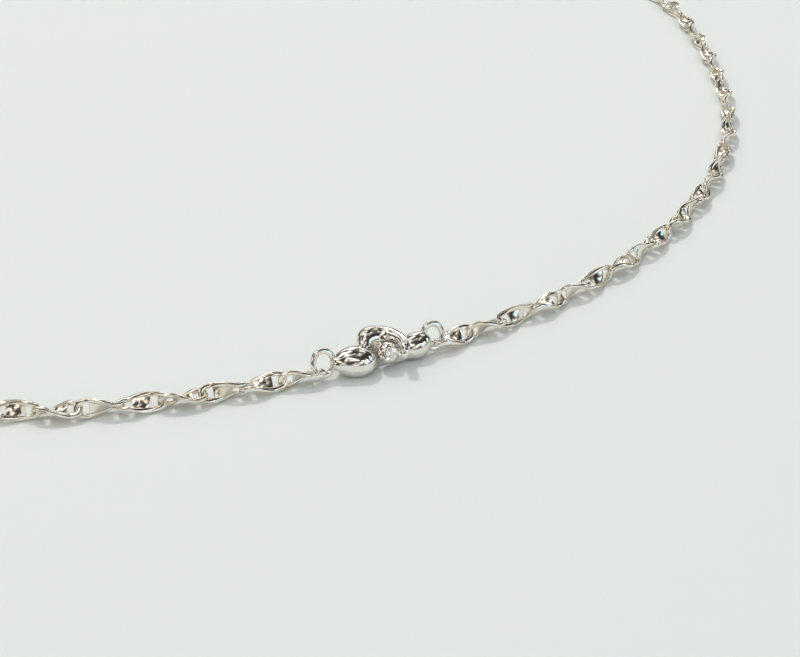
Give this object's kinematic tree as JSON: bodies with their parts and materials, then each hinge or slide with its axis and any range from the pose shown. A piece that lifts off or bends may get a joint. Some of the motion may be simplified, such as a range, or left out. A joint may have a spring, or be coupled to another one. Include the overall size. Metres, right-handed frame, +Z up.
{
  "type": "necklace",
  "caption": "Fine silver necklace lying in a loop: a twisted anchor chain closed by a sculpted hook and ball clasp with a small round stone.",
  "frame": {"origin": "centre of the necklace's outline, on the surface it lies on", "axes": "+Z up; the clasp is at the front, towards -Y, right of the middle"},
  "size_m": [0.14, 0.1498, 0.0034],
  "materials": {
    "chain": "polished silver, flat rolled links",
    "clasp": "polished cast silver",
    "stone": "clear white brilliant cut"
  },
  "bodies": {
    "root": {"chain_left": "chain", "chain_right": "chain", "clasp_hook_half": "clasp", "clasp_ball_half": "clasp", "stone": "stone"}
  },
  "joints": []
}
